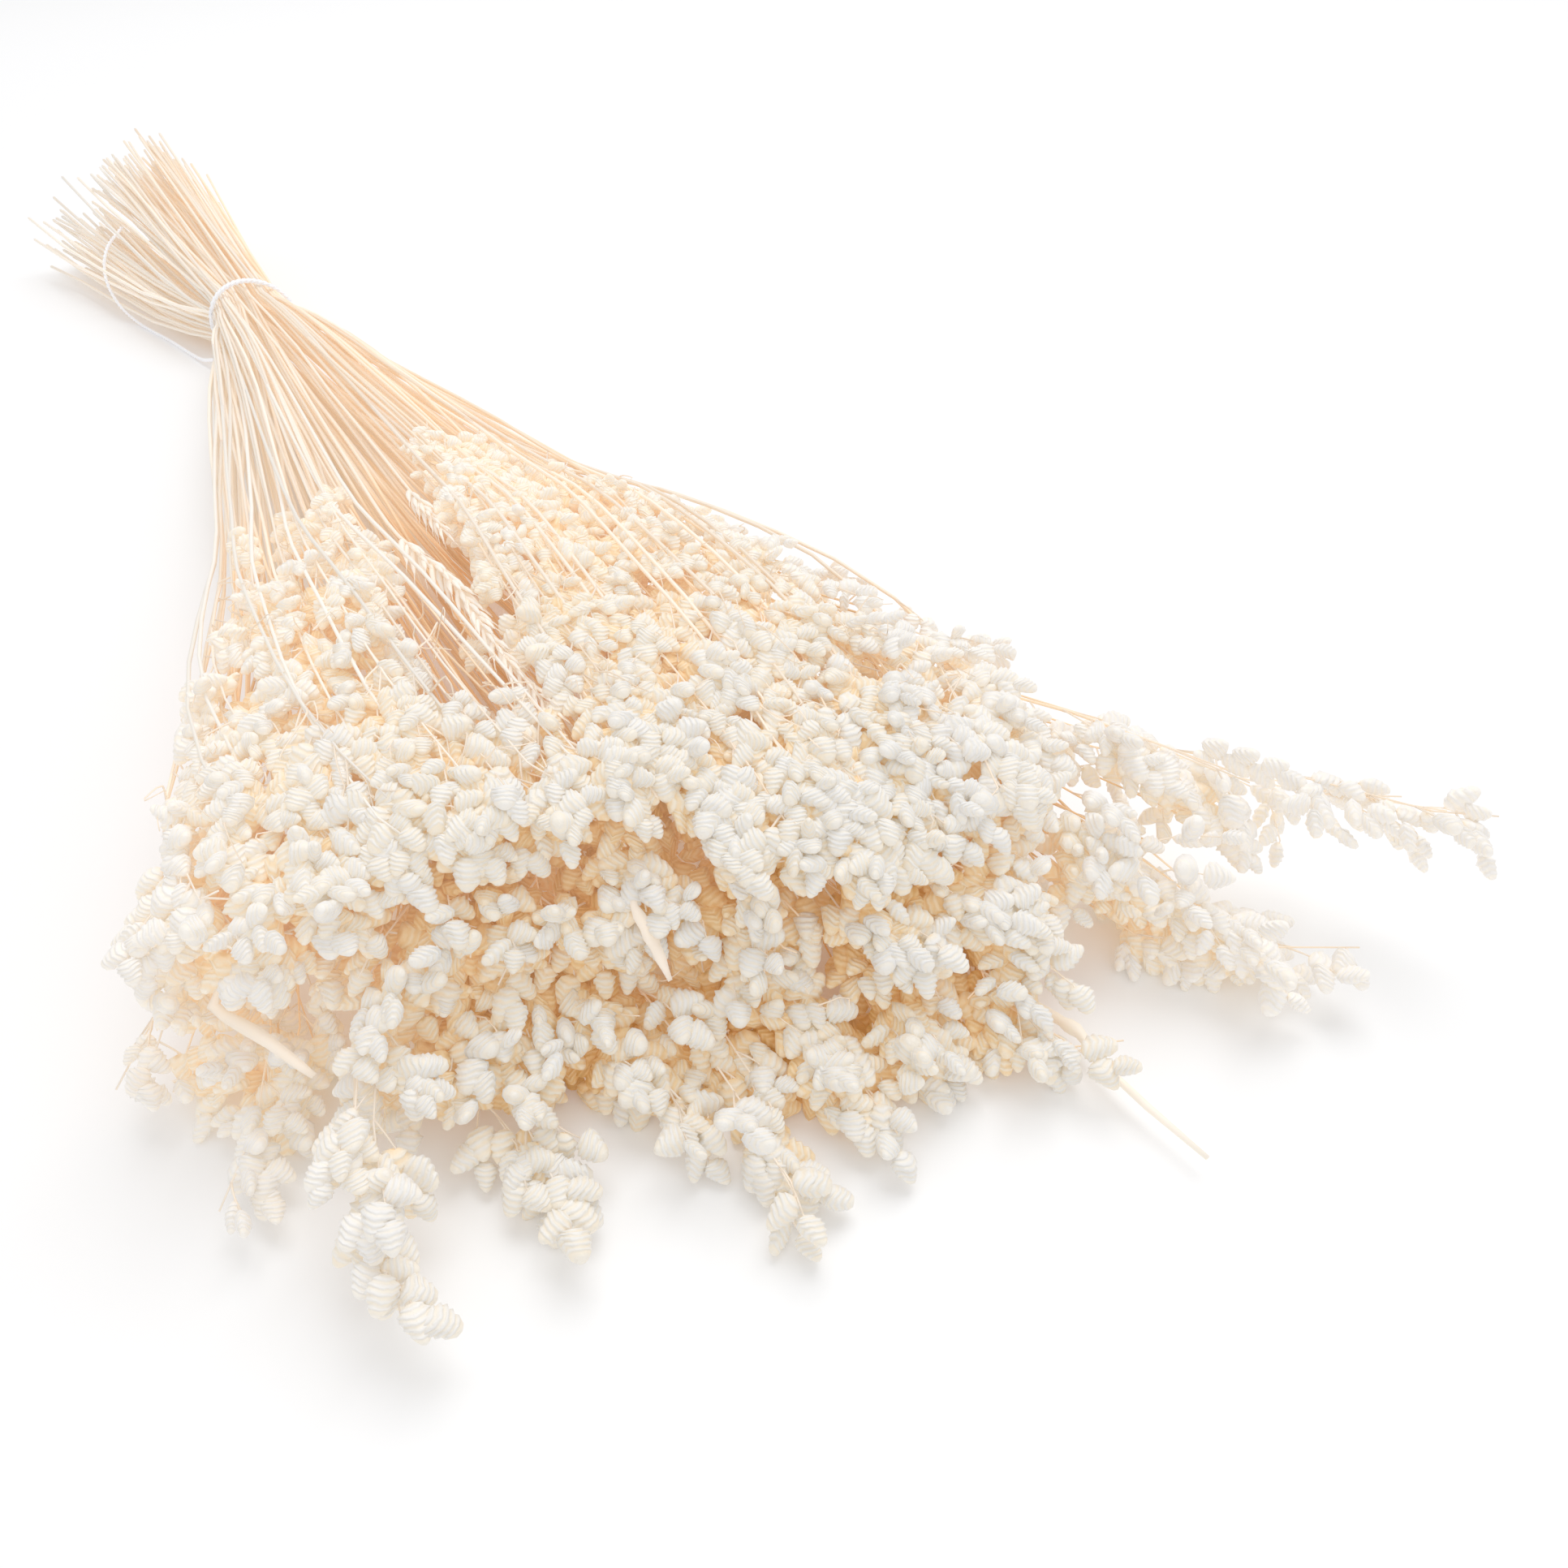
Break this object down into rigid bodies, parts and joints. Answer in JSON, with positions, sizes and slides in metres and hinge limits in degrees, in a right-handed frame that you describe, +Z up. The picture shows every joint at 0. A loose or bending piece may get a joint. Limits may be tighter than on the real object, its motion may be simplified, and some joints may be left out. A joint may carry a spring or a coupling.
{
  "type": "dried grass bunch",
  "caption": "Bunch of dried lesser quaking grass lying down: pale stems in a white string tie with a loose end, cut ends on one side and a wide fan of small plump seed heads on the other.",
  "frame": {"origin": "on the surface, under the middle of the bunch's box, measured without the loose end of the string", "axes": "+X from the cut ends to the heads, +Z up from the surface that the bunch lies on"},
  "size_m": [0.5592, 0.2082, 0.05],
  "materials": {
    "bleached_grass": "matte dried grass, ivory to straw",
    "pale_straw": "satin dry straw",
    "white_string": "matte twisted cotton"
  },
  "bodies": {
    "root": {"wisp_01": "bleached_grass", "wisp_02": "bleached_grass", "wisp_03": "bleached_grass", "wisp_04": "bleached_grass", "wisp_05": "bleached_grass", "wisp_06": "bleached_grass", "wisp_07": "bleached_grass", "wisp_08": "bleached_grass", "wisp_09": "bleached_grass", "wisp_10": "bleached_grass", "wisp_11": "bleached_grass", "wisp_12": "bleached_grass", "wisp_13": "bleached_grass", "wisp_14": "bleached_grass", "wisp_15": "bleached_grass", "wisp_16": "bleached_grass", "wisp_17": "bleached_grass", "wisp_18": "bleached_grass", "wisp_19": "bleached_grass", "wisp_20": "bleached_grass", "wisp_21": "bleached_grass", "wisp_22": "bleached_grass", "wisp_23": "bleached_grass", "wisp_24": "bleached_grass", "wisp_25": "bleached_grass", "wisp_26": "bleached_grass", "wisp_27": "bleached_grass", "wisp_28": "bleached_grass", "wisp_29": "bleached_grass", "wisp_30": "bleached_grass", "wisp_31": "bleached_grass", "wisp_32": "bleached_grass", "wisp_33": "bleached_grass", "wisp_34": "bleached_grass", "foreign_ear_1": "pale_straw", "foreign_ear_2": "pale_straw", "bare_stem": "pale_straw", "tie": "white_string", "tie_string": "white_string"}
  },
  "joints": []
}
